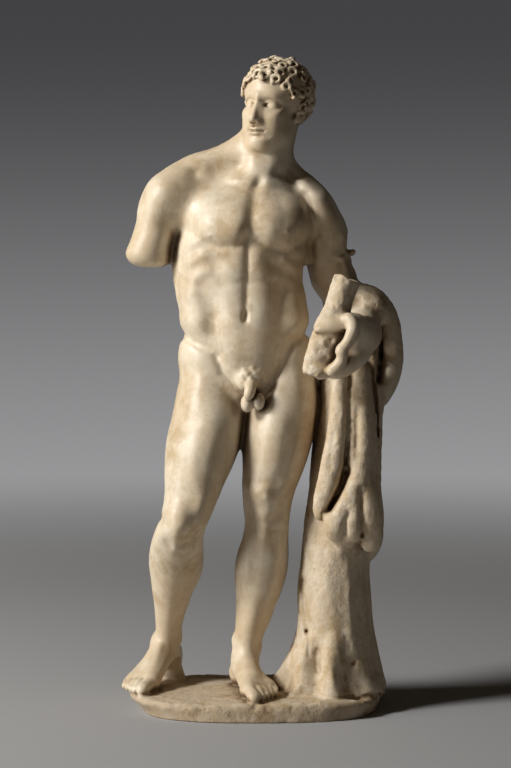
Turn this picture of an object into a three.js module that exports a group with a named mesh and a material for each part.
// A marble statuette of a standing nude ruler beside a tree trunk, with its plinth, carved from one block.
// The figure rests its weight on its left leg. Its right arm is broken off above the elbow. Its left hand
// holds the stump of a round thing, and a cloak falls from that forearm over the trunk.
// Millimetres, +Z up, and the front faces -Y. The origin is the middle of the plinth's underside.
import * as THREE from "three";

// Driving sizes
const FIGURE_HEIGHT = 737; // sole to crown
const PLINTH_WIDTH = 298; // along X
const PLINTH_DEPTH = 204; // along Y
const PLINTH_THICKNESS = 21; // underside to the top that the feet stand on
const PLINTH_ROUNDING = 8; // of the worn upper edge
const UNDERCUT = 0.12; // share by which the right end draws in towards its underside
const TRIANGLES = 9600; // of the finished solid
const FINE_STEP = 2.9; // of the grid across the head
const COARSE_STEP = 3.9; // of the grid elsewhere

// The places and sizes below are those of the figure as drawn, measured from the top of its plinth.
// Every one of them is multiplied by FIGURE, so that the pose keeps its proportions at any height.
const HEAD_MIDDLE = [20.5, 1, 678]; // between the eyes and the nape, at eye level
const SKULL = [0, 9, 14]; // its middle from there
const SKULL_RADII = [33, 40.5, 36];
const HAIR = 9; // how far the hair stands out from the skull
const DRAWN_HEIGHT = HEAD_MIDDLE[2] + SKULL[2] + SKULL_RADII[2] + HAIR;
const FIGURE = FIGURE_HEIGHT / DRAWN_HEIGHT;
const FAR = 1e3;

// Soft minimum: the union of two skins with a fillet about as wide as the third value.
function fillet(a, b, width) {
  const overlap = Math.max(width - Math.abs(a - b), 0);
  return Math.min(a, b) - (overlap * overlap) / (4 * width);
}

// Weight from 0 to 1 as x passes from one limit to the other.
function ease(x, from, to) {
  const t = THREE.MathUtils.clamp((x - from) / (to - from), 0, 1);
  return t * t * (3 - 2 * t);
}

// A repeatable number from 0 to 1 for a whole number.
function chance(n) {
  const wave = Math.sin(n * 127.1 + 11.7) * 43758.5453;
  return wave - Math.floor(wave);
}

// Smooth curve through the rows of a table whose first entry rises. Gives the other entries at x.
function curveThrough(rows) {
  const slopes = rows.map((row, i) => {
    const before = rows[Math.max(i - 1, 0)];
    const after = rows[Math.min(i + 1, rows.length - 1)];
    return row.map((_, k) => (after[k] - before[k]) / (after[0] - before[0]));
  });
  return (x) => {
    let i = 0;
    while (i < rows.length - 2 && x > rows[i + 1][0]) i++;
    const span = rows[i + 1][0] - rows[i][0];
    const t = THREE.MathUtils.clamp((x - rows[i][0]) / span, 0, 1);
    const keep = (1 + 2 * t) * (1 - t) * (1 - t);
    const lead = t * (1 - t) * (1 - t) * span;
    const trail = t * t * (t - 1) * span;
    return rows[i].map((v, k) => {
      return keep * v + (1 - keep) * rows[i + 1][k] + lead * slopes[i][k] + trail * slopes[i + 1][k];
    });
  };
}

// Shapes of clay. Each has a box and a distance function that is below zero inside it.

// An ellipsoid, upright in its frame.
function ball(centre, radii, frame = FIGURE_FRAME) {
  const [cx, cy, cz] = centre;
  const [rx, ry, rz] = Array.isArray(radii) ? radii : [radii, radii, radii];
  const reach = Math.max(rx, ry, rz);
  return {
    frame,
    low: [cx - reach, cy - reach, cz - reach],
    high: [cx + reach, cy + reach, cz + reach],
    distance(x, y, z) {
      const ax = (x - cx) / rx;
      const ay = (y - cy) / ry;
      const az = (z - cz) / rz;
      const k = Math.hypot(ax, ay, az);
      const g = Math.hypot(ax / rx, ay / ry, az / rz);
      return g < 1e-9 ? -Math.min(rx, ry, rz) : (k * (k - 1)) / g;
    },
  };
}

// A rounded stick from one point to another that tapers from one radius to another.
function stick(from, to, radiusFrom, radiusTo = radiusFrom, frame = FIGURE_FRAME) {
  const reach = Math.max(radiusFrom, radiusTo);
  const along = to.map((v, i) => v - from[i]);
  const square = along.reduce((sum, v) => sum + v * v, 0);
  return {
    frame,
    low: from.map((v, i) => Math.min(v, to[i]) - reach),
    high: from.map((v, i) => Math.max(v, to[i]) + reach),
    distance(x, y, z) {
      const px = x - from[0];
      const py = y - from[1];
      const pz = z - from[2];
      const dot = px * along[0] + py * along[1] + pz * along[2];
      const t = THREE.MathUtils.clamp(dot / square, 0, 1);
      const gap = Math.hypot(px - t * along[0], py - t * along[1], pz - t * along[2]);
      return gap - radiusFrom - t * (radiusTo - radiusFrom);
    },
  };
}

// A body given by its level sections: rows of height, middle x, half width, front y and back y.
// The sections are ellipses, each turned by twist(height) radians about the middle. Round is the
// softness of the two ends.
function column(rows, { twist = () => 0, frame = FIGURE_FRAME, round = 1 } = {}) {
  const section = curveThrough(rows);
  const bottom = rows[0][0];
  const top = rows[rows.length - 1][0];
  const reach = Math.max(...rows.map((row) => Math.max(row[2], (row[4] - row[3]) / 2))) * 1.05;
  const held = new Map();
  const at = (z) => {
    if (!held.has(z)) {
      const level = THREE.MathUtils.clamp(z, bottom, top);
      const [, middle, half, front, back] = section(level);
      held.set(z, [middle, half, (front + back) / 2, (back - front) / 2, twist(level)]);
    }
    return held.get(z);
  };
  return {
    frame,
    low: [
      Math.min(...rows.map((row) => row[1])) - reach,
      Math.min(...rows.map((row) => (row[3] + row[4]) / 2)) - reach,
      bottom,
    ],
    high: [
      Math.max(...rows.map((row) => row[1])) + reach,
      Math.max(...rows.map((row) => (row[3] + row[4]) / 2)) + reach,
      top,
    ],
    distance(x, y, z) {
      const [middle, half, centre, deep, turn] = at(z);
      const c = Math.cos(turn);
      const s = Math.sin(turn);
      const u = (x - middle) * c + (y - centre) * s;
      const v = (y - centre) * c - (x - middle) * s;
      const size = Math.hypot(u, v);
      const k = Math.hypot(u / half, v / deep);
      const side = k < 1e-6 ? -Math.min(half, deep) : size * (1 - 1 / k);
      return -fillet(-side, Math.min(top - z, z - bottom), round);
    },
  };
}

// A place to model in: a point of the figure, turned about Z by yaw, then tipped by roll and pitch.
function frameAt(origin, { yaw = 0, roll = 0, pitch = 0 } = {}) {
  const turn = new THREE.Euler(pitch, roll, yaw, "ZYX");
  const matrix = new THREE.Matrix4().makeRotationFromEuler(turn);
  matrix.premultiply(new THREE.Matrix4().makeTranslation(...origin));
  const base = new THREE.Matrix4().makeTranslation(0, 0, PLINTH_THICKNESS);
  base.multiply(new THREE.Matrix4().makeScale(FIGURE, FIGURE, FIGURE));
  const out = base.multiply(matrix);
  return { out, into: out.clone().invert().elements };
}

const FIGURE_FRAME = frameAt([0, 0, 0]);

// The block that the shapes are put together in: distances on a grid whose lines lie closer at the head.
class Block {
  constructor(low, high, fineFrom) {
    const line = (a, b, step) => Array.from({ length: Math.ceil((b - a) / step) + 1 }, (_, i) => a + i * step);
    this.xs = line(low[0], high[0], COARSE_STEP);
    this.ys = line(low[1], high[1], COARSE_STEP);
    this.zs = [];
    for (let z = low[2]; z < high[2]; z += z > fineFrom ? FINE_STEP : COARSE_STEP) this.zs.push(z);
    this.zs.push(high[2]);
    this.values = new Float32Array(this.xs.length * this.ys.length * this.zs.length).fill(FAR);
  }

  index(i, j, k) {
    return i + this.xs.length * (j + this.ys.length * k);
  }

  // Calls change(value, u, v, w) with each grid point's place in the frame, within the box and its margin.
  sweep(frame, low, high, margin, change) {
    const box = new THREE.Box3(new THREE.Vector3(...low), new THREE.Vector3(...high));
    box.applyMatrix4(frame.out).expandByScalar(margin);
    const range = (line, a, b) => [line.findIndex((v) => v >= a), line.findLastIndex((v) => v <= b)];
    const [i0, i1] = range(this.xs, box.min.x, box.max.x);
    const [j0, j1] = range(this.ys, box.min.y, box.max.y);
    const [k0, k1] = range(this.zs, box.min.z, box.max.z);
    if (i0 < 0 || j0 < 0 || k0 < 0) return;
    const m = frame.into;
    for (let k = k0; k <= k1; k++) {
      const z = this.zs[k];
      for (let j = j0; j <= j1; j++) {
        const y = this.ys[j];
        for (let i = i0; i <= i1; i++) {
          const x = this.xs[i];
          const at = this.index(i, j, k);
          const u = m[0] * x + m[4] * y + m[8] * z + m[12];
          const v = m[1] * x + m[5] * y + m[9] * z + m[13];
          const w = m[2] * x + m[6] * y + m[10] * z + m[14];
          this.values[at] = change(this.values[at], u, v, w);
        }
      }
    }
  }

  // Joins a shape on, with a fillet of that width.
  add(shape, width) {
    this.sweep(shape.frame, shape.low, shape.high, (width + 8) * FIGURE, (value, u, v, w) => {
      return fillet(value, shape.distance(u, v, w) * FIGURE, width * FIGURE);
    });
  }

  // Cuts a shape away, with the edge softened over that width.
  cut(shape, width) {
    this.sweep(shape.frame, shape.low, shape.high, (width + 8) * FIGURE, (value, u, v, w) => {
      return -fillet(-value, shape.distance(u, v, w) * FIGURE, width * FIGURE);
    });
  }

  // Raises the skin along a path of [u, w] points, as seen along the frame's v axis, or sinks it where
  // height is below zero. Only the side of v that is marked changes: -1 is the front and 1 the back.
  // A larger edge gives a flatter top with a steeper rim.
  raise(path, width, height, { side = -1, from = 0, edge = 2, frame = FIGURE_FRAME } = {}) {
    const us = path.map((p) => p[0]);
    const ws = path.map((p) => p[1]);
    const reach = width * (edge > 2 ? 1.5 : 2.4);
    const deep = 150;
    const low = [Math.min(...us) - reach, side < 0 ? from - deep : from - 8, Math.min(...ws) - reach];
    const high = [Math.max(...us) + reach, side < 0 ? from + 8 : from + deep, Math.max(...ws) + reach];
    this.sweep(frame, low, high, 0, (value, u, v, w) => {
      if (Math.abs(value) > 30) return value;
      let nearest = path.length > 1 ? Infinity : Math.hypot(u - us[0], w - ws[0]);
      for (let i = 0; i + 1 < path.length; i++) {
        const du = us[i + 1] - us[i];
        const dw = ws[i + 1] - ws[i];
        const along = ((u - us[i]) * du + (w - ws[i]) * dw) / (du * du + dw * dw);
        const t = THREE.MathUtils.clamp(along, 0, 1);
        nearest = Math.min(nearest, Math.hypot(u - us[i] - t * du, w - ws[i] - t * dw));
      }
      const share = Math.exp(-Math.pow(nearest / width, edge)) * ease(side * (v - from), -6, 6);
      return value - height * FIGURE * share;
    });
  }
}

// A chain of sticks through points given as [x, y, z, radius].
function chain(block, points, width, frame = FIGURE_FRAME) {
  for (let i = 0; i + 1 < points.length; i++) {
    const [from, to] = [points[i], points[i + 1]];
    block.add(stick(from.slice(0, 3), to.slice(0, 3), from[3], to[3], frame), width);
  }
}

// Trunk of the body, from the crotch to the neck. The chest turns to the figure's left, the hips to its right.
const TORSO = [
  [322, -10, 40, -20, 36],
  [338, -9, 68, -34, 50],
  [354, -6.5, 78, -40, 54],
  [369, -8.5, 79.5, -42, 52],
  [386, -10.8, 79, -44, 46],
  [400, -11.5, 77, -45, 41],
  [410, -11.5, 75, -45, 38],
  [418, -11.5, 73.5, -45, 36],
  [430, -13, 72.5, -45, 35],
  [444, -14.4, 72.5, -44, 36],
  [459, -17.5, 73.5, -44, 39],
  [477, -20.5, 75, -45, 44],
  [497, -20.6, 76, -47, 49],
  [523, -18, 76.5, -50, 54],
  [548, -14, 76, -49, 56],
  [567, -14, 68, -42, 54],
  [583, -10, 54, -31, 50],
  [598, -3, 38, -20, 44],
  [610, 5, 22, -8, 36],
];
const NECK = [
  [592, 3, 33, -22, 40],
  [606, 10, 31, -22, 36],
  [622, 14, 28, -22, 33],
  [642, 18, 27, -22, 31],
  [664, 21, 26, -20, 30],
];

function twist(height) {
  return THREE.MathUtils.degToRad(-14 * ease(height, 440, 560) + 5 * ease(height, 420, 340));
}

function torso(block) {
  block.add(column(TORSO, { twist, round: 10 }), 4);
  block.add(column(NECK), 16);
  // Neck muscles, from the pit of the neck to behind the ears, and the slopes of the shoulders
  block.add(stick([10, -20, 594], [40, 14, 656], 6, 8), 10);
  block.add(stick([1, -20, 594], [-6, 4, 652], 6, 8), 10);
  chain(block, [[10, 22, 634, 17], [-32, 16, 610, 15], [-88, 10, 596, 14]], 22);
  block.add(stick([16, 24, 636], [46, 18, 582], 15, 12), 18);
  // Collar bones, the pit of the neck and the hollows beside the bones
  block.raise([[-4, 588], [-30, 594], [-64, 595]], 6, 2.6);
  block.raise([[14, 587], [38, 582], [50, 580]], 6, 2.4);
  block.raise([[5.5, 592]], 7, -4.5);
  block.raise([[-22, 606], [-44, 606]], 10, -2.2);
  block.raise([[-71, 598], [-75, 580], [-82, 558]], 8, -3);
  block.raise([[56, 582], [60, 566], [64, 548]], 6, -2.6);
  // Breast muscles and the groove between them
  block.raise([[-64, 560], [-50, 547], [-30, 543.5]], 28, 7.5, { from: -4, edge: 3.4 });
  block.raise([[27, 541], [37, 540], [46, 548]], 26, 7.5, { from: -4, edge: 3.4 });
  block.raise([[-54, 536], [-38, 530], [-26, 531]], 13, 3);
  block.raise([[20, 530], [32, 528], [46, 534]], 12, 2.6);
  block.raise([[0, 582], [-2, 556], [-4, 526]], 7.5, -4);
  block.raise([[-53, 526]], 4, 1.4);
  block.raise([[36, 530]], 4, 1.4);
  // Straight muscle of the belly in two rows of blocks, with the line down its middle and the navel
  for (const [top, low, left, right] of [[500, 484, -27, 6], [458, 446, -28, 7]]) {
    block.raise([[left, top], [left, low]], 15.5, 2.6, { edge: 3.5 });
    block.raise([[right, top], [right, low]], 15.5, 2.6, { edge: 3.5 });
  }
  block.raise([[-7, 515], [-9, 494], [-10, 470], [-11, 442]], 7, -2.8);
  block.raise([[-11, 438], [-11.5, 431]], 4, -4.5);
  block.raise([[-12, 414], [-10, 392]], 27, 4.2, { edge: 2.6 });
  // Ribs under the breast and their arch, then the side muscles that bulge over the hips
  for (const [x, z] of [[-80, 514], [-76, 496], [-69, 478], [50, 506], [46, 489], [41, 473]]) {
    block.raise([[x, z], [x + (x < 0 ? 15 : -13), z + 8]], 7, 2.2, { from: 8 });
  }
  block.raise([[-24, 512], [-44, 500], [-58, 478], [-62, 458]], 7, -3);
  block.raise([[4, 511], [20, 500], [31, 480], [33, 462]], 7, -3);
  block.raise([[-76, 454], [-70, 430]], 15, 5, { from: 20, edge: 3 });
  block.raise([[46, 454], [44, 434]], 15, 6, { from: 20, edge: 2.6 });
  // Furrows over the hip bones, and the groin
  block.raise([[-84, 413], [-70, 405], [-54, 397], [-44, 389], [-38, 370]], 6, -3.6, { from: 4 });
  block.raise([[60, 417], [51, 411], [40, 402], [32, 386], [24, 369]], 6, -4, { from: 8 });
  block.raise([[-38, 370], [-27, 361], [-16, 352]], 5, -4);
  block.raise([[24, 369], [17, 355], [12, 343]], 5, -4);
}

// Back of the body. None of it shows in the photograph.
function back(block) {
  block.add(ball([-45, 30, 366], [35, 31, 38]), 14);
  block.add(ball([29, 31, 372], [34, 31, 38]), 14);
  block.raise([[-9, 392], [-9, 372], [-8, 344]], 7, -10, { side: 1, from: 22 });
  block.raise([[-58, 336], [-24, 328]], 8, -3.5, { side: 1, from: 16 });
  block.raise([[8, 328], [46, 340]], 8, -3.5, { side: 1, from: 16 });
  block.raise([[4, 596], [-8, 545], [-14, 480], [-12, 430], [-10, 402]], 7, -6, { side: 1, from: 20 });
  for (const side of [-1, 1]) {
    const middle = -10;
    block.raise([[middle + side * 17, 500], [middle + side * 15, 420]], 10, 3, { side: 1, from: 20 });
    block.raise([[middle + side * 40, 566], [middle + side * 36, 540]], 19, 5, { side: 1, from: 20, edge: 3 });
    block.raise([[middle + side * 56, 520], [middle + side * 46, 470]], 17, 4, { side: 1, from: 10 });
  }
}

function privates(block) {
  block.add(ball([-9, -39, 362], [15, 11, 13]), 8);
  block.add(ball([-9.5, -47, 336], [7.5, 8, 10]), 3);
  block.add(ball([4, -47, 338], [7.5, 8, 9.5]), 3);
  block.add(stick([-8, -48, 358], [-10, -58, 343], 5, 4.4), 3);
}

// Legs. The right one is bent and set back, and the left one carries the weight.
const RIGHT_LEG = [
  [30, -104, 14, 34, 66],
  [44, -105, 14.5, 27, 62],
  [58, -103.6, 14.4, 21, 57],
  [74, -102, 16.2, 13, 52],
  [95, -99, 20.2, -2, 50],
  [111, -97.2, 23.5, -12, 47],
  [129, -93.5, 28.8, -24, 42],
  [145, -92.4, 31.5, -34, 34],
  [162, -91.5, 31.2, -47, 20],
  [178, -89.5, 29.6, -60, 4],
  [192, -85.5, 28.6, -69, -8],
  [207, -79.5, 28.8, -71, -13],
  [222, -74.5, 29.6, -69, -7],
  [239, -70.5, 33, -69, 4],
  [264, -64.5, 39, -67, 18],
  [284, -60.5, 42, -64, 30],
  [303, -57, 42.5, -59, 40],
  [319, -54.5, 42.2, -54, 47],
  [336, -53, 40.5, -48, 52],
  [354, -52, 38, -41, 50],
  [376, -52, 32, -32, 42],
  [402, -52, 18, -16, 26],
];
const LEFT_LEG = [
  [22, -12, 14.4, -10, 30],
  [36, -11, 14.4, -9, 29],
  [50, -9.2, 14.6, -9, 28],
  [62, -6.9, 16.6, -11, 27],
  [76, -3.6, 19.8, -14, 28],
  [98, 0.8, 23.4, -19, 33],
  [115, 3.9, 27.2, -23, 38],
  [130, 5.6, 30, -25, 40],
  [144, 7, 31, -27, 39],
  [159, 9, 29.6, -28, 34],
  [175, 11.3, 27, -32, 27],
  [194, 13.2, 25.6, -38, 22],
  [216, 13.7, 28, -41, 21],
  [237, 16, 31, -45, 24],
  [262, 21, 36, -49, 28],
  [288, 24.8, 40.3, -51, 34],
  [303, 26.6, 41, -51, 40],
  [321, 29.5, 41.5, -49, 47],
  [337, 30.5, 42, -46, 51],
  [355, 31, 40, -40, 50],
  [378, 30, 33, -32, 42],
  [404, 28, 18, -16, 26],
];

function legs(block) {
  block.add(column(RIGHT_LEG), 9);
  block.add(column(LEFT_LEG), 9);
  // Right thigh: the two muscles above the knee, and the kneecap with its tendon
  block.raise([[-54, 300], [-64, 262], [-58, 234]], 14, 3, { from: -20 });
  block.raise([[-92, 290], [-92, 250]], 12, 2.5, { from: -10 });
  block.raise([[-58, 226]], 9, 3, { from: -25 });
  block.raise([[-88, 212], [-87, 202]], 13, 4, { from: -28, edge: 2.6 });
  block.raise([[-90, 182], [-91, 172]], 6, 2.5, { from: -20 });
  block.raise([[-106, 190], [-100, 172], [-90, 163], [-76, 172], [-68, 186]], 3.5, -2.5, { from: -10 });
  block.raise([[-93, 160], [-97, 112], [-103, 70]], 9, 2, { from: 12 });
  // Left thigh and knee
  block.raise([[22, 310], [16, 262], [6, 236]], 14, 3, { from: -2 });
  block.raise([[46, 290], [38, 250]], 11, 2.5, { from: 0 });
  block.raise([[-2, 232]], 8, 3.5, { from: 0 });
  block.raise([[10, 226], [11, 212]], 13, 4, { from: -6, edge: 2.6 });
  block.raise([[10, 198], [10, 188]], 5, 3, { from: -4 });
  block.raise([[-6, 214], [0, 200], [10, 203]], 3.2, -2.2, { from: -4 });
  block.raise([[9, 180], [4, 130], [-6, 76]], 9, 2, { from: 4 });
  // Calves
  for (const [x, y, lean] of [[-92, 34, 8], [6, 36, 0]]) {
    block.add(ball([x - 9, y - 9, 142], [16, 15, 36]), 14);
    block.add(ball([x + 10, y - 9 + lean / 4, 150], [15, 14, 34]), 14);
    block.raise([[x, 156], [x, 128]], 6, -1.6, { side: 1, from: y - 8 });
  }
  // Ankle bones
  block.add(ball([-92, 40, 52], 5.5), 6);
  block.add(ball([-116, 44, 46], 5.5), 6);
  block.add(ball([-20, 8, 53], 5.5), 6);
  block.add(ball([2, 12, 47], 5.5), 6);
}

// A foot, in a frame under the ankle whose -v axis points along it. inner is the u side of the big toe,
// and lift is how far the heel stands off the ground.
function foot(block, frame, inner, lift) {
  const rise = (v, z) => z + lift * ease(v, -62, 4);
  const to = (across, v, z) => [inner * across, v, rise(v, z)];
  block.add(ball(to(0, 8, 15), [14.5, 17, 15.5], frame), 9);
  block.add(stick(to(0, -2, 34), to(3, -58, 17), 14, 9.5, frame), 10);
  block.add(stick(to(-5, 0, 17), to(-11, -64, 10), 12, 8.5, frame), 8);
  block.add(stick(to(7, -16, 22), to(11, -72, 10.5), 10, 9.5, frame), 8);
  block.add(stick(to(11, -73, 9.5), to(-12, -64, 8.5), 9.2, 8, frame), 6);
  block.add(stick(to(11, -78, 9), to(12, -99, 7), 7.8, 6.6, frame), 3);
  for (let toe = 1; toe < 5; toe++) {
    const across = 10.2 - toe * 7.2;
    const root = to(across * 0.95, -74 + toe * 3.2, 9.5);
    const knuckle = to(across, -88 + toe * 5, 9.4 - toe * 0.4);
    const tip = to(across + 0.4 * toe, -97 + toe * 5.4, 5.4);
    const thick = 5.1 - toe * 0.25;
    block.add(stick(root, knuckle, thick, thick, frame), 2.5);
    block.add(stick(knuckle, tip, thick, thick - 0.4, frame), 2.5);
  }
}

function feet(block) {
  foot(block, frameAt([-14, 11, 0], { yaw: THREE.MathUtils.degToRad(14) }), -1, 0);
  const right = frameAt([-106, 54, 0], { yaw: THREE.MathUtils.degToRad(-21) });
  foot(block, right, 1, 17);
  // Marble left standing under the raised heel
  block.add(stick([-99, 66, 0], [-101, 62, 22], 15, 11), 8);
}

// Right arm, broken off level above the elbow
const RIGHT_ARM = [
  [491, -121, 14, -14, 16],
  [495.5, -122.5, 21, -20.5, 22],
  [501, -124, 24.4, -24.5, 26],
  [507, -124.7, 25.6, -26, 27],
  [521, -120.8, 24.6, -26, 28],
  [533, -117, 24.2, -25.5, 30],
  [545, -113.2, 24.6, -26, 31.5],
  [557, -110, 26, -26, 33],
  [568, -105.5, 26.6, -26, 34],
  [580, -98, 24.5, -23, 33],
  [592, -90, 19.5, -17, 29],
  [600, -84, 13, -10, 22],
];
const LEFT_ARM = [
  [436, 112, 21, 22, 68],
  [452, 104, 25, 16, 68],
  [468, 96, 28.5, 10, 66],
  [484, 90, 27.5, 5, 62],
  [500, 86, 27, 0, 58],
  [517, 85, 26.5, -5, 54],
  [534, 82, 25.8, -11, 50],
  [548, 78, 24.6, -16, 45],
  [561, 71, 22.5, -19, 40],
  [573, 65, 20, -20, 36],
  [584, 58, 15, -15, 30],
  [592, 52, 9, -8, 22],
];

function arms(block) {
  block.add(column(RIGHT_ARM, { round: 6 }), 12);
  block.add(column(LEFT_ARM), 10);
  // Shoulders running into the chest, their caps, and the web of the left armpit
  block.add(stick([-50, 4, 556], [-94, 4, 566], 30, 27), 14);
  block.add(stick([34, 6, 552], [64, 12, 552], 26, 24), 14);
  block.add(ball([-95, 4, 570], [33, 31, 33]), 14);
  block.add(ball([64, 12, 558], [26, 28, 29]), 14);
  block.add(stick([52, 8, 522], [57.5, 10, 499], 9, 5), 9);
  block.raise([[-110, 582], [-118, 556]], 15, 3, { from: 4 });
  block.raise([[78, 568], [87, 546], [90, 530]], 12, 2.4, { from: 10 });
  block.raise([[58, 574], [63, 554], [72, 530]], 5, -3, { from: 6 });
  // Broken patch on the outer side of the left arm, with the stub of a lost strut
  block.cut(ball([117, 24, 518], [14, 19, 17]), 3);
  block.cut(ball([110, 8, 497], [7, 8, 11]), 2);
  block.add(stick([98, 22, 508], [113, 14, 507], 6, 4.4), 2);
  block.add(stick([100, 6, 492], [104, 8, 478], 7, 8), 3);
  // Forearm and wrist, coming forward under the cloak
  chain(block, [[112, 48, 446, 21], [119, 12, 432, 20], [122, -30, 418, 17], [122, -50, 413, 18]], 10);
}

// Left hand with the stump of a round thing in its grip
const STUMP_LOW = [66, -80, 367];
const STUMP_HIGH = [103.5, -74, 479];

function hand(block) {
  const stump = new THREE.Vector3(...STUMP_HIGH).sub(new THREE.Vector3(...STUMP_LOW));
  const roll = Math.atan2(stump.x, stump.z);
  const frame = frameAt(STUMP_LOW, { roll, pitch: -Math.atan2(stump.y, stump.z) });
  const length = stump.length();
  const rows = [
    [0, 0, 12.5, -12.5, 12.5],
    [8, 0, 15.6, -15.6, 15.6],
    [42, 0, 17.8, -16.8, 15.6],
    [74, 0, 15.9, -15.6, 15.6],
    [length - 4, 0, 15.6, -15.6, 15.6],
    [length, 0, 14.8, -14.8, 14.8],
  ];
  block.add(column(rows, { frame }), 3);
  for (let chip = 0; chip < 9; chip++) {
    const height = 8 + chip * 12;
    const across = (chance(chip) - 0.5) * 22;
    block.raise([[across, height], [across + 6, height + 6]], 5, -1.6, { frame });
  }
  // Back of the hand and the palm behind the stump
  block.add(ball([120, -58, 411], [20, 24, 21]), 10);
  block.add(ball([109, -70, 404], [16, 17, 22]), 14);
  block.add(stick([125, -48, 414], [113, -80, 423], 13, 9), 14);
  block.add(ball([100, -70, 396], [14, 15, 19]), 12);
  // Fingers closed under the stump
  chain(block, [[120, -66, 397, 11], [110, -78, 386, 9], [97, -83, 378, 7], [86, -83, 373, 6]], 6);
  chain(block, [[116, -60, 392, 11], [102, -71, 378, 8], [88, -73, 372, 7]], 5);
  // Thumb across the front, then the first finger hooked over it
  chain(block, [[113, -80, 427, 8], [102, -89, 428, 7.4], [84, -94, 426, 6.4], [70, -93, 423, 5.4]], 4);
  chain(block, [[100, -90, 430, 5.4], [106, -95, 431, 6], [110.5, -98, 425, 6.2], [110, -100, 414, 5.4]], 2.5);
  chain(block, [[110, -100, 414, 5.4], [105, -101, 404, 6], [95, -98, 384, 5.4], [85, -95, 375, 5]], 2.5);
}

// Head, in a frame turned to the figure's right. -v is the way that the face looks, and w = 0 is eye level.
const HEAD_TURN = { yaw: THREE.MathUtils.degToRad(-31), roll: THREE.MathUtils.degToRad(5), pitch: 0 };
const HEAD_FRAME = frameAt(HEAD_MIDDLE, HEAD_TURN);

function head(block) {
  const frame = HEAD_FRAME;
  const add = (shape, width) => block.add(shape, width);
  add(ball(SKULL, SKULL_RADII, frame), 6);
  add(ball([0, -12, -12], [28, 25, 34], frame), 10);
  add(ball([0, -14, -30], [22, 20, 22], frame), 10);
  add(ball([0, -29, -43], [9.5, 9, 9], frame), 10);
  for (const side of [-1, 1]) {
    add(stick([side * 22, 6, -26], [side * 8, -24, -44], 8, 7, frame), 10);
    add(ball([side * 20, -22, -10], [9, 10, 9], frame), 10);
    block.raise([[side * 12, -2], [side * 17, -3]], 6.5, -5.5, { frame, from: -12, edge: 3 });
    add(ball([side * 14, -25.5, -3], [8, 7.5, 7], frame), 2);
    add(stick([side * 5, -37, 4.5], [side * 16, -35.5, 8.5], 3, 3, frame), 5);
    add(stick([side * 16, -35.5, 8.5], [side * 25, -26, 4], 3, 2.6, frame), 5);
    add(ball([side * 5.4, -39.5, -22.5], [3.6, 5, 3.6], frame), 3);
    add(ball([side * 33, 6, -7], [4, 9, 13], frame), 4);
  }
  add(stick([0, -36.5, 5], [0, -44.5, -20], 3.6, 4.6, frame), 4);
  add(stick([-7, -36.5, -31.4], [7, -36.5, -31.4], 2.8, 2.8, frame), 3);
  add(stick([-6, -36, -37], [6, -36, -37], 3.3, 3.3, frame), 2.5);
  block.raise([[-9, -34], [9, -34]], 1.8, -2, { frame, from: -20 });
}

// Locks of hair: curls spaced evenly round the skull, left off the face and the neck.
const CURLS = 120;
const CURL_RADIUS = 0.78 * HAIR;

function hair(block) {
  const frame = HEAD_FRAME;
  const cap = SKULL_RADII.map((radius) => radius + 0.3 * HAIR);
  const golden = Math.PI * (3 - Math.sqrt(5));
  for (let n = 0; n < CURLS; n++) {
    const up = 1 - (2 * (n + 0.5)) / CURLS;
    const round = Math.sqrt(1 - up * up);
    const around = n * golden;
    const place = [round * Math.sin(around), -round * Math.cos(around), up];
    const u = SKULL[0] + place[0] * cap[0];
    const v = SKULL[1] + place[1] * cap[1];
    const w = SKULL[2] + place[2] * cap[2];
    const face = v < 8 && w < 27 - 0.34 * (v + 30) - 14 * ease(Math.abs(u), 20, 33);
    const nape = w < -24;
    if (face || nape) continue;
    const size = CURL_RADIUS * (0.85 + 0.3 * chance(n));
    block.add(ball([u, v, w], [size, size, size * 0.86], frame), 1.5);
  }
}

// Tree trunk, and the cloak over it and over the forearm
const TRUNK = [
  [-4, 90, 62, -66, 62],
  [8, 90, 58, -61, 58],
  [22, 91.5, 54, -55, 54],
  [40, 93, 49.5, -49, 50],
  [60, 94, 46, -45, 47],
  [82, 93, 44, -42, 45],
  [115, 92, 42.5, -40, 44],
  [145, 93, 41, -38, 43],
  [170, 96, 42, -38, 44],
  [200, 99, 42, -38, 46],
  [240, 103, 40.5, -37, 48],
  [280, 105.5, 39.5, -36, 50],
  [320, 107.5, 37, -34, 50],
  [355, 108, 33, -30, 48],
  [390, 112, 28, -24, 42],
];

function trunk(block) {
  block.add(column(TRUNK), 14);
  // Roots spreading on the plinth, and the grooves between them
  const roots = [[52, -44], [88, -60], [128, -38], [140, 14], [120, 52], [70, 56], [40, 20]];
  for (const [x, y] of roots) {
    const middle = [92, -2];
    const inner = [middle[0] + (x - middle[0]) * 0.72, middle[1] + (y - middle[1]) * 0.72, 58];
    block.add(stick([x, y, 4], inner, 12, 7), 12);
  }
  // Web of stone behind the left foot
  block.add(stick([14, 2, -4], [52, 0, 30], 8, 12), 16);
  block.raise([[55, 128], [56, 108], [58, 86], [60, 50]], 5, -3.4, { from: 0 });
  block.raise([[128, 158], [127, 108], [130, 60], [136, 30]], 15, -5, { from: 0, edge: 3 });
  block.raise([[71, 48], [72, 30]], 6, -3, { from: 0 });
  block.raise([[82, 44], [86, 20]], 7, 3, { from: 0 });
  block.raise([[84, 156], [80, 100], [88, 40]], 14, 2.4, { from: 0 });
  for (const x of [60, 88, 118]) {
    block.raise([[x, 230], [x + 4, 150], [x - 2, 60]], 6, -3.5, { side: 1, from: 10 });
  }
}

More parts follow.
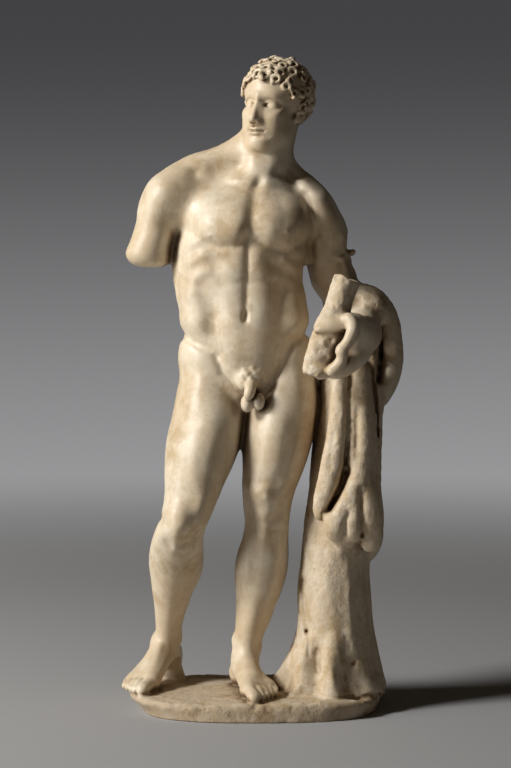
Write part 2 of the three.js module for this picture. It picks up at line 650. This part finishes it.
// The cloak's front fall: a body of cloth, then folds as [x, y, z, radius] from top to hem
const FRONT_CLOTH = [
  [170, 104, 12, -36, 4],
  [184, 101, 22, -40, 4],
  [204, 101, 28, -41, 4],
  [240, 103, 30, -41, 4],
  [290, 107, 28, -40, 4],
  [340, 109, 26, -37, 4],
  [378, 110, 23, -32, 4],
];
const FRONT_FOLDS = [
  [[97, -36, 374, 7], [97, -40, 350, 9], [95.5, -44, 317, 11], [91, -46, 280, 12.5], [85, -46, 248, 12]],
  [[85, -46, 248, 12], [78, -45, 226, 10], [75, -43, 208, 7]],
  [[119, -34, 376, 8], [121, -39, 350, 10], [122, -42, 317, 11.5], [121, -43, 283, 11.5], [118, -45, 252, 12]],
  [[112, -38, 340, 6], [112, -43, 300, 7], [111, -44, 262, 8]],
  [[116, -47, 250, 11], [107, -51, 230, 10], [97, -50, 213, 9.5], [88, -48, 197, 9], [85, -46, 188, 7]],
  [[115, -48, 240, 9], [110, -51, 218, 8], [107, -51, 200, 7.5], [105, -49, 186, 7], [105, -46, 176, 5]],
  [[121, -46, 246, 8], [121, -50, 226, 8], [118, -51, 208, 7], [115, -49, 190, 6.4], [114, -46, 180, 5]],
  [[129, -40, 250, 8], [131, -41, 228, 8], [131, -42, 206, 8.5], [126, -41, 188, 7.5], [121, -39, 176, 6]],
  [[88, -43, 198, 9], [92, -42, 184, 8.5], [104, -42, 177, 7.5], [116, -41, 178, 7]],
];
// The cloth down the back of the trunk
const BACK_CLOTH = [
  [166, 112, 16, 4, 40],
  [184, 108, 26, 0, 47],
  [240, 108, 33, 0, 53],
  [300, 110, 33, 0, 55],
  [360, 112, 32, 0, 57],
  [420, 114, 27, 2, 58],
];
// Folds that loop behind the arm and fall down the outer side and the back
const OUTER_FOLDS = [
  [[108, 2, 458, 11], [126, 6, 459, 12], [144, 12, 449, 11.5], [155, 16, 430, 11], [160, 18, 405, 11]],
  [[160, 18, 405, 11], [160, 18, 382, 11], [155, 16, 358, 10.5], [147, 13, 336, 7]],
  [[136, 30, 452, 14], [150, 36, 424, 14], [154, 38, 390, 14], [148, 36, 354, 11], [142, 34, 336, 8]],
  [[122, -10, 446, 9], [136, -6, 441, 10], [144, 2, 420, 9], [147, 6, 392, 8], [140, 4, 340, 7]],
  [[126, 46, 450, 16], [140, 50, 424, 16], [144, 52, 384, 15], [138, 50, 338, 12]],
  [[141, 8, 348, 9], [138, 6, 300, 8], [137, 4, 245, 8], [139, 4, 205, 9], [139, 2, 176, 9], [133, 2, 156, 6]],
  [[138, 26, 346, 10], [137, 26, 280, 9], [136, 24, 220, 9], [132, 22, 168, 8]],
  [[132, 40, 340, 11], [132, 38, 270, 10], [131, 36, 215, 10], [126, 35, 172, 9]],
  [[106, 48, 410, 14], [108, 50, 330, 12], [106, 49, 260, 11], [102, 48, 196, 9]],
  [[84, 42, 360, 10], [82, 44, 290, 10], [80, 43, 220, 9]],
];

function cloak(block) {
  // Cloth lying over the forearm and behind the folds
  chain(block, [[108, 52, 448, 26], [118, 24, 440, 26], [122, -4, 430, 20]], 10);
  block.add(ball([130, 34, 396], [21, 28, 60]), 10);
  for (const fold of OUTER_FOLDS) chain(block, fold, 6);
  block.add(column(BACK_CLOTH, { round: 14 }), 8);
  block.add(column(FRONT_CLOTH, { round: 12 }), 6);
  for (const fold of FRONT_FOLDS) chain(block, fold, 5);
  block.raise([[108, 352], [107, 318], [104.5, 282], [102, 252], [98, 238], [84, 214]], 5, -6, { from: -20 });
  block.raise([[99, 204], [97, 192]], 4, -3, { from: -20 });
  block.raise([[124, 216], [120, 190]], 4, -3.4, { from: -20 });
}

// Plinth: an uneven oval slab with a worn upper edge
function plinth(block) {
  const halfWidth = PLINTH_WIDTH / 2;
  const halfDepth = PLINTH_DEPTH / 2;
  const frame = { out: new THREE.Matrix4(), into: new THREE.Matrix4().elements };
  const squareness = 2.7;
  const uneven = 0.006;
  const shape = {
    frame,
    low: [-halfWidth, -halfDepth, 0],
    high: [halfWidth, halfDepth, PLINTH_THICKNESS],
    distance(x, y, z) {
      const around = Math.atan2(y / halfDepth, x / halfWidth);
      const ripple = 1 - uneven * (1 + Math.sin(5 * around + 1) * 0.6 + Math.sin(11 * around) * 0.4);
      const shrink = UNDERCUT * (x < 0 ? 1 : 0.5) * (1 - ease(z, 0, PLINTH_THICKNESS));
      const u = Math.abs(x / (halfWidth * (1 - shrink)));
      const v = Math.abs(y / halfDepth);
      const k = Math.pow(u ** squareness + v ** squareness, 1 / squareness);
      const side = Math.hypot(x, y) * (1 - ripple / Math.max(k, 1e-6));
      const above = z - PLINTH_THICKNESS;
      const a = Math.max(side + PLINTH_ROUNDING, 0);
      const b = Math.max(above + PLINTH_ROUNDING, 0);
      const rounded = Math.hypot(a, b) - PLINTH_ROUNDING;
      return Math.max(Math.min(rounded, FAR), side, above, -z);
    },
  };
  block.sweep(frame, shape.low, shape.high, 14, (value, x, y, z) => {
    return fillet(value, shape.distance(x, y, z), 5);
  });
}

// Everything below the floor is cut off flat.
function level(block) {
  const frame = { out: new THREE.Matrix4(), into: new THREE.Matrix4().elements };
  const reach = PLINTH_WIDTH;
  block.sweep(frame, [-reach, -reach, -20], [reach, reach, PLINTH_THICKNESS], 0, (value, x, y, z) => {
    return Math.max(value, -z);
  });
}

// Six tetrahedra fill each cell of the grid. Corner n of a cell has its bits as steps along x, y and z.
const TETRAHEDRA = [
  [0, 1, 3, 7],
  [0, 1, 5, 7],
  [0, 2, 3, 7],
  [0, 2, 6, 7],
  [0, 4, 5, 7],
  [0, 4, 6, 7],
];
const NEAR_CORNER = 0.04; // a cut lies at least this share of its edge from a corner

// Skin of the block where its values pass zero, as points and triangles.
function skinOf(block) {
  const { xs, ys, zs, values } = block;
  const points = [];
  const faces = [];
  const made = new Map();
  const steps = Array.from({ length: 8 }, (_, n) => block.index(n & 1, (n >> 1) & 1, (n >> 2) & 1));
  const valueAt = (at) => values[at] || 1e-4;
  const place = (i, j, k, n) => [xs[i + (n & 1)], ys[j + ((n >> 1) & 1)], zs[k + ((n >> 2) & 1)]];
  for (let k = 0; k + 1 < zs.length; k++) {
    for (let j = 0; j + 1 < ys.length; j++) {
      for (let i = 0; i + 1 < xs.length; i++) {
        const start = block.index(i, j, k);
        let inside = 0;
        for (const step of steps) inside += valueAt(start + step) < 0 ? 1 : 0;
        if (inside === 0 || inside === 8) continue;
        const cutOf = (a, b) => {
          const [low, high] = a < b ? [a, b] : [b, a];
          const key = (start + steps[low]) * 8 + (high - low);
          if (!made.has(key)) {
            const va = valueAt(start + steps[low]);
            const vb = valueAt(start + steps[high]);
            const t = THREE.MathUtils.clamp(va / (va - vb), NEAR_CORNER, 1 - NEAR_CORNER);
            const [p, q] = [place(i, j, k, low), place(i, j, k, high)];
            made.set(key, points.length);
            points.push(p.map((v, axis) => v + t * (q[axis] - v)));
          }
          return made.get(key);
        };
        for (const corners of TETRAHEDRA) {
          const within = corners.filter((n) => valueAt(start + steps[n]) < 0);
          const without = corners.filter((n) => valueAt(start + steps[n]) >= 0);
          if (!within.length || !without.length) continue;
          const way = subtract(place(i, j, k, without[0]), place(i, j, k, within[0]));
          const add = (a, b, c) => {
            const normal = cross(subtract(points[b], points[a]), subtract(points[c], points[a]));
            faces.push(dot(normal, way) > 0 ? [a, b, c] : [a, c, b]);
          };
          if (within.length === 2) {
            const [a, b] = within;
            const [c, d] = without;
            const ring = [cutOf(a, c), cutOf(a, d), cutOf(b, d), cutOf(b, c)];
            add(ring[0], ring[1], ring[2]);
            add(ring[0], ring[2], ring[3]);
          } else {
            const lone = within.length === 1 ? within[0] : without[0];
            const others = corners.filter((n) => n !== lone);
            add(...others.map((n) => cutOf(lone, n)));
          }
        }
      }
    }
  }
  return { points, faces };
}

// The largest of the closed skins, without the specks and hollows that the shapes leave beside it.
function largestSkin({ points, faces }) {
  const leader = points.map((_, p) => p);
  const root = (p) => {
    while (leader[p] !== p) {
      leader[p] = leader[leader[p]];
      p = leader[p];
    }
    return p;
  };
  for (const [a, b, c] of faces) {
    leader[root(b)] = root(a);
    leader[root(c)] = root(a);
  }
  const sizes = new Map();
  for (const [a] of faces) sizes.set(root(a), (sizes.get(root(a)) ?? 0) + 1);
  const [largest] = [...sizes].reduce((best, entry) => (entry[1] > best[1] ? entry : best));
  return { points, faces: faces.filter(([a]) => root(a) === largest) };
}

function subtract(a, b) {
  return [a[0] - b[0], a[1] - b[1], a[2] - b[2]];
}

function cross(a, b) {
  return [a[1] * b[2] - a[2] * b[1], a[2] * b[0] - a[0] * b[2], a[0] * b[1] - a[1] * b[0]];
}

function dot(a, b) {
  return a[0] * b[0] + a[1] * b[1] + a[2] * b[2];
}

// A queue that gives back its cheapest entry first.
class Queue {
  constructor() {
    this.heap = [];
  }

  push(entry) {
    const heap = this.heap;
    heap.push(entry);
    let i = heap.length - 1;
    while (i > 0) {
      const parent = (i - 1) >> 1;
      if (heap[parent].cost <= heap[i].cost) break;
      [heap[parent], heap[i]] = [heap[i], heap[parent]];
      i = parent;
    }
  }

  pop() {
    const heap = this.heap;
    const first = heap[0];
    const last = heap.pop();
    if (heap.length) {
      heap[0] = last;
      let i = 0;
      for (;;) {
        let least = i;
        for (const child of [2 * i + 1, 2 * i + 2]) {
          if (child < heap.length && heap[child].cost < heap[least].cost) least = child;
        }
        if (least === i) break;
        [heap[least], heap[i]] = [heap[i], heap[least]];
        i = least;
      }
    }
    return first;
  }
}

// Merges the ends of the edges that matter least until that many triangles are left. Each point keeps
// the sum of its triangles' planes as a 4 by 4 quadric, so a merged point lies close to all of them.
const SHORTNESS = 2e-3; // how much the length of an edge counts beside its error
const QUADRIC = 10; // numbers in a quadric
const FLATTEST = 1e-4; // below this a quadric has no clear lowest point
const LEAST_TURN = 0.25; // cosine of the most that a triangle may turn in a merge
const LEAST_AREA = 1e-3; // twice the area of the smallest triangle

class Thinner {
  constructor({ points, faces }) {
    this.points = points;
    this.corners = Int32Array.from(faces.flat());
    this.alive = new Uint8Array(faces.length).fill(1);
    this.around = points.map(() => []);
    this.corners.forEach((p, c) => this.around[p].push(Math.floor(c / 3)));
    this.quadrics = new Float64Array(points.length * QUADRIC);
    this.sum = new Float64Array(QUADRIC);
    this.stamp = new Uint32Array(points.length);
    this.mark = new Uint32Array(points.length);
    this.token = 0;
    this.queue = new Queue();
    faces.forEach((face) => this.addPlane(face));
  }

  addPlane(face) {
    const [a, b, c] = face.map((p) => this.points[p]);
    const normal = cross(subtract(b, a), subtract(c, a));
    const size = Math.hypot(normal[0], normal[1], normal[2]) || 1;
    const [x, y, z] = [normal[0] / size, normal[1] / size, normal[2] / size];
    const d = -(x * a[0] + y * a[1] + z * a[2]);
    const plane = [x * x, x * y, x * z, x * d, y * y, y * z, y * d, z * z, z * d, d * d];
    for (const p of face) {
      for (let i = 0; i < QUADRIC; i++) this.quadrics[p * QUADRIC + i] += plane[i] * size;
    }
  }

  errorAt(q, x, y, z) {
    const squares = q[0] * x * x + q[4] * y * y + q[7] * z * z + q[9];
    return squares + 2 * (q[1] * x * y + q[2] * x * z + q[3] * x + q[5] * y * z + q[6] * y + q[8] * z);
  }

  // Lowest point of the quadric if it has a clear one near the edge, or else the edge's middle.
  bestPoint(q, a, b) {
    const middle = [(a[0] + b[0]) / 2, (a[1] + b[1]) / 2, (a[2] + b[2]) / 2];
    const m0 = q[4] * q[7] - q[5] * q[5];
    const m1 = q[5] * q[2] - q[1] * q[7];
    const m2 = q[1] * q[5] - q[4] * q[2];
    const whole = q[0] * m0 + q[1] * m1 + q[2] * m2;
    const trace = q[0] + q[4] + q[7];
    if (Math.abs(whole) < FLATTEST * trace * trace * trace) return middle;
    const m4 = q[0] * q[7] - q[2] * q[2];
    const m5 = q[1] * q[2] - q[0] * q[5];
    const m8 = q[0] * q[4] - q[1] * q[1];
    const solved = [
      -(m0 * q[3] + m1 * q[6] + m2 * q[8]) / whole,
      -(m1 * q[3] + m4 * q[6] + m5 * q[8]) / whole,
      -(m2 * q[3] + m5 * q[6] + m8 * q[8]) / whole,
    ];
    const away = Math.hypot(solved[0] - middle[0], solved[1] - middle[1], solved[2] - middle[2]);
    return away > 2 * Math.hypot(a[0] - b[0], a[1] - b[1], a[2] - b[2]) ? middle : solved;
  }

  offer(a, b) {
    const { sum, quadrics } = this;
    for (let i = 0; i < QUADRIC; i++) sum[i] = quadrics[a * QUADRIC + i] + quadrics[b * QUADRIC + i];
    const [pa, pb] = [this.points[a], this.points[b]];
    const place = this.bestPoint(sum, pa, pb);
    const square = (pa[0] - pb[0]) ** 2 + (pa[1] - pb[1]) ** 2 + (pa[2] - pb[2]) ** 2;
    const cost = this.errorAt(sum, place[0], place[1], place[2]) + SHORTNESS * square * square;
    this.queue.push({ a, b, place, cost, stampA: this.stamp[a], stampB: this.stamp[b] });
  }

  neighbours(p) {
    const found = [];
    const token = ++this.token;
    this.mark[p] = token;
    for (const f of this.around[p]) {
      for (let c = 3 * f; c < 3 * f + 3; c++) {
        const n = this.corners[c];
        if (this.mark[n] === token) continue;
        this.mark[n] = token;
        found.push(n);
      }
    }
    return found;
  }

  has(f, p) {
    return this.corners[3 * f] === p || this.corners[3 * f + 1] === p || this.corners[3 * f + 2] === p;
  }

  // Whether moving p to a new place would turn over or flatten one of its triangles, leaving out those
  // that also hold the other end of the edge.
  spoils(p, other, place) {
    for (const f of this.around[p]) {
      if (this.has(f, other)) continue;
      const ids = [this.corners[3 * f], this.corners[3 * f + 1], this.corners[3 * f + 2]];
      const [a, b, c] = ids.map((n) => this.points[n]);
      const [d, e, g] = ids.map((n) => (n === p ? place : this.points[n]));
      const before = cross(subtract(b, a), subtract(c, a));
      const after = cross(subtract(e, d), subtract(g, d));
      const size = Math.sqrt(dot(after, after));
      const least = LEAST_TURN * Math.sqrt(dot(before, before)) * size;
      if (size < LEAST_AREA || dot(before, after) < least) return true;
    }
    return false;
  }

  // Moves a to the place and gives it all of b's triangles. Returns how many triangles are gone.
  merge(a, b, place) {
    let gone = 0;
    for (const f of this.around[b]) {
      if (this.has(f, a)) {
        this.alive[f] = 0;
        gone++;
        continue;
      }
      for (let c = 3 * f; c < 3 * f + 3; c++) if (this.corners[c] === b) this.corners[c] = a;
      this.around[a].push(f);
    }
    this.around[b] = [];
    for (const p of [a, ...this.neighbours(a)]) this.around[p] = this.around[p].filter((f) => this.alive[f]);
    this.points[a] = place;
    for (let i = 0; i < QUADRIC; i++) this.quadrics[a * QUADRIC + i] += this.quadrics[b * QUADRIC + i];
    this.stamp[a]++;
    this.stamp[b]++;
    return gone;
  }

  run(target) {
    const { corners, alive, queue, stamp } = this;
    for (let c = 0; c < corners.length; c++) {
      const next = c % 3 === 2 ? c - 2 : c + 1;
      if (corners[c] < corners[next]) this.offer(corners[c], corners[next]);
    }
    let left = alive.length;
    while (left > target && queue.heap.length) {
      const { a, b, place, stampA, stampB } = queue.pop();
      if (stamp[a] !== stampA || stamp[b] !== stampB) continue;
      const near = this.neighbours(b);
      const shared = this.neighbours(a).filter((n) => near.includes(n));
      if (shared.length !== 2 || this.spoils(a, b, place) || this.spoils(b, a, place)) continue;
      left -= this.merge(a, b, place);
      for (const n of this.neighbours(a)) this.offer(a, n);
    }
    const faces = [];
    alive.forEach((on, f) => on && faces.push([corners[3 * f], corners[3 * f + 1], corners[3 * f + 2]]));
    return { points: this.points, faces };
  }
}

function geometryOf({ points, faces }) {
  const geometry = new THREE.BufferGeometry();
  geometry.setAttribute("position", new THREE.Float32BufferAttribute(points.flat(), 3));
  geometry.setIndex(faces.flat());
  const plain = geometry.toNonIndexed();
  plain.computeVertexNormals();
  return plain;
}

const SIDE_REACH = 176; // of the cloak from the middle, as drawn
const FRONT_REACH = 110; // of the toes
const HEAD_FROM = 622; // height above the plinth where the finer grid begins

function carve() {
  const margin = 14;
  const side = Math.max(PLINTH_WIDTH / 2, SIDE_REACH * FIGURE) + margin;
  const deep = Math.max(PLINTH_DEPTH / 2, FRONT_REACH * FIGURE) + margin;
  const top = PLINTH_THICKNESS + FIGURE_HEIGHT + margin;
  const block = new Block([-side, -deep, -6], [side, deep, top], PLINTH_THICKNESS + HEAD_FROM * FIGURE);
  legs(block);
  torso(block);
  back(block);
  privates(block);
  arms(block);
  head(block);
  hair(block);
  trunk(block);
  cloak(block);
  hand(block);
  feet(block);
  plinth(block);
  level(block);
  return geometryOf(new Thinner(largestSkin(skinOf(block))).run(TRIANGLES));
}

const marble = new THREE.MeshStandardMaterial({ color: 0xded2b8, roughness: 0.5, metalness: 0 });
const statuette = new THREE.Mesh(carve(), marble);
statuette.name = "marble_statuette";

const group = new THREE.Group();
group.add(statuette);

export default group;
